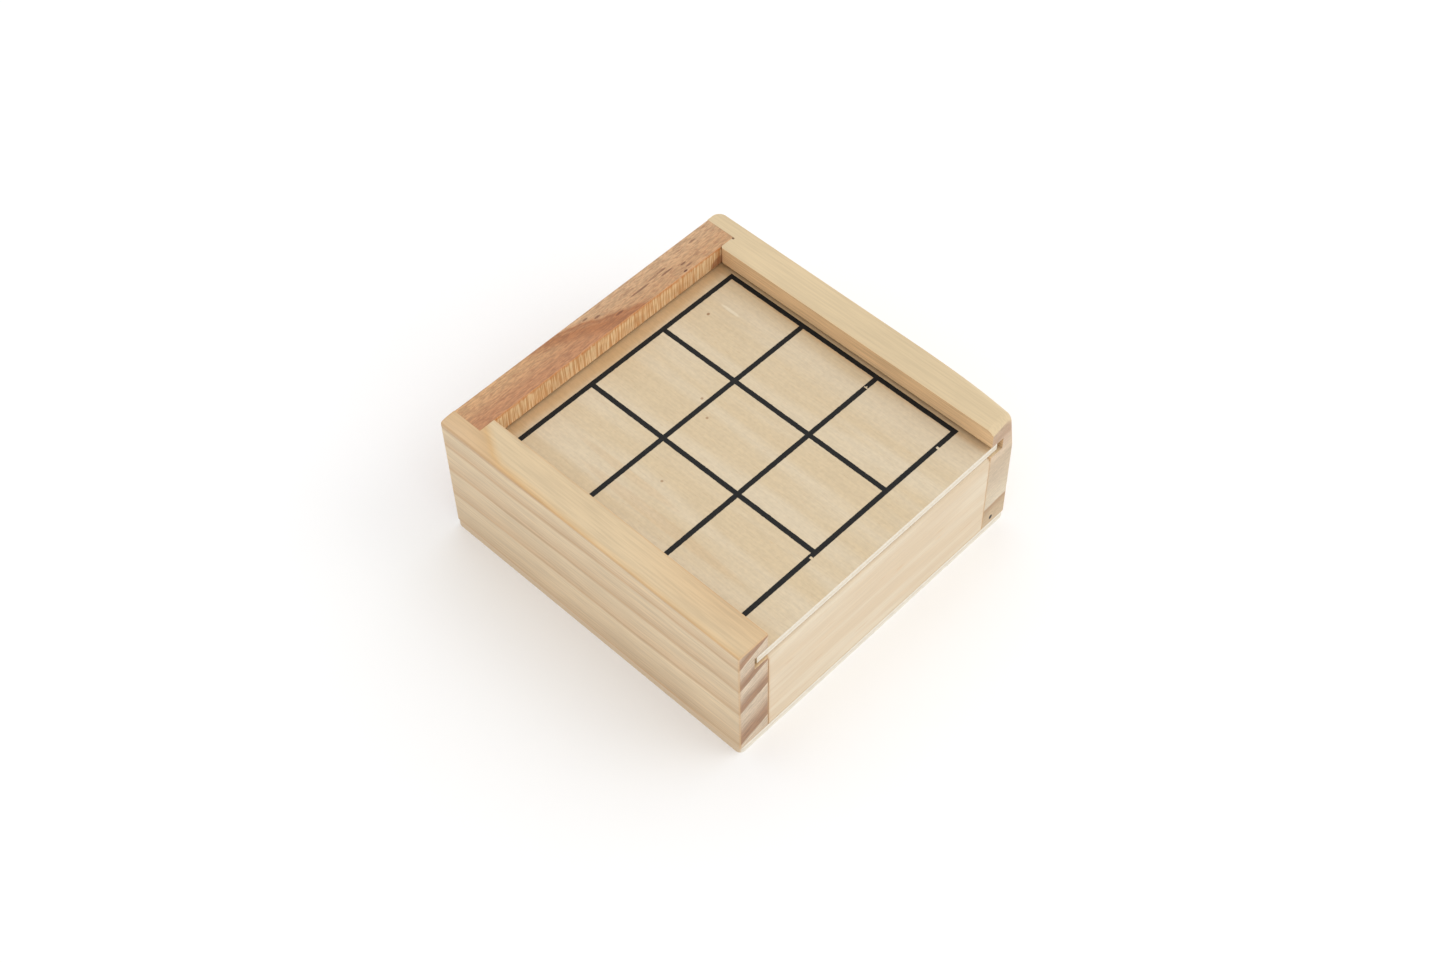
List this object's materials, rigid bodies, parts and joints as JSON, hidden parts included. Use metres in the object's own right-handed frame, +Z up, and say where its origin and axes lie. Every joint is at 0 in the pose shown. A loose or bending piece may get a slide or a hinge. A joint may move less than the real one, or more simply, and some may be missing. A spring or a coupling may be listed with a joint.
{
  "type": "wooden puzzle box",
  "caption": "Small pine box with a plywood lid that slides out over the low front wall, a black grid of squares printed on the lid in a shallow tray, and wooden cubes kept inside.",
  "frame": {"origin": "centre of the underside, on the surface that the box stands on", "axes": "+X to the right, +Y from the low front wall to the back wall, +Z up; the lid draws out along -Y"},
  "size_m": [0.1204, 0.1234, 0.0502],
  "materials": {
    "left_wall_pine": "sanded, unfinished",
    "right_wall_pine": "sanded, unfinished",
    "back_wall_pine": "sanded, unfinished",
    "front_wall_pine": "sanded, unfinished",
    "base_plywood": "sanded, unfinished",
    "brad_steel": "bright wire",
    "lid_plywood": "sanded, unfinished",
    "grid_ink": "matt printed ink",
    "cube_beech": "sanded, unfinished"
  },
  "bodies": {
    "box": {"left_side_wall": "left_wall_pine", "right_side_wall": "right_wall_pine", "back_wall": "back_wall_pine", "front_wall": "front_wall_pine", "base_panel": "base_plywood", "base_brads": "brad_steel"},
    "lid": {"sliding_lid": "lid_plywood", "printed_grid": "grid_ink"},
    "cube_front_left": {"cube_front_left": "cube_beech"},
    "cube_front_middle": {"cube_front_middle": "cube_beech"},
    "cube_front_right": {"cube_front_right": "cube_beech"},
    "cube_centre_left": {"cube_centre_left": "cube_beech"},
    "cube_centre_middle": {"cube_centre_middle": "cube_beech"},
    "cube_centre_right": {"cube_centre_right": "cube_beech"},
    "cube_back_left": {"cube_back_left": "cube_beech"},
    "cube_back_middle": {"cube_back_middle": "cube_beech"},
    "cube_back_right": {"cube_back_right": "cube_beech"}
  },
  "joints": [
    {"name": "lid_slide", "type": "slide", "parent": "box", "child": "lid", "axis": [0, -1, 0], "range_m": [0, 0.118]},
    {"name": "cube_front_left_lift", "type": "slide", "parent": "box", "child": "cube_front_left", "axis": [0, 0, 1], "range_m": [0, 0.006]},
    {"name": "cube_front_middle_lift", "type": "slide", "parent": "box", "child": "cube_front_middle", "axis": [0, 0, 1], "range_m": [0, 0.006]},
    {"name": "cube_front_right_lift", "type": "slide", "parent": "box", "child": "cube_front_right", "axis": [0, 0, 1], "range_m": [0, 0.006]},
    {"name": "cube_centre_left_lift", "type": "slide", "parent": "box", "child": "cube_centre_left", "axis": [0, 0, 1], "range_m": [0, 0.006]},
    {"name": "cube_centre_middle_lift", "type": "slide", "parent": "box", "child": "cube_centre_middle", "axis": [0, 0, 1], "range_m": [0, 0.006]},
    {"name": "cube_centre_right_lift", "type": "slide", "parent": "box", "child": "cube_centre_right", "axis": [0, 0, 1], "range_m": [0, 0.006]},
    {"name": "cube_back_left_lift", "type": "slide", "parent": "box", "child": "cube_back_left", "axis": [0, 0, 1], "range_m": [0, 0.006]},
    {"name": "cube_back_middle_lift", "type": "slide", "parent": "box", "child": "cube_back_middle", "axis": [0, 0, 1], "range_m": [0, 0.006]},
    {"name": "cube_back_right_lift", "type": "slide", "parent": "box", "child": "cube_back_right", "axis": [0, 0, 1], "range_m": [0, 0.006]}
  ]
}
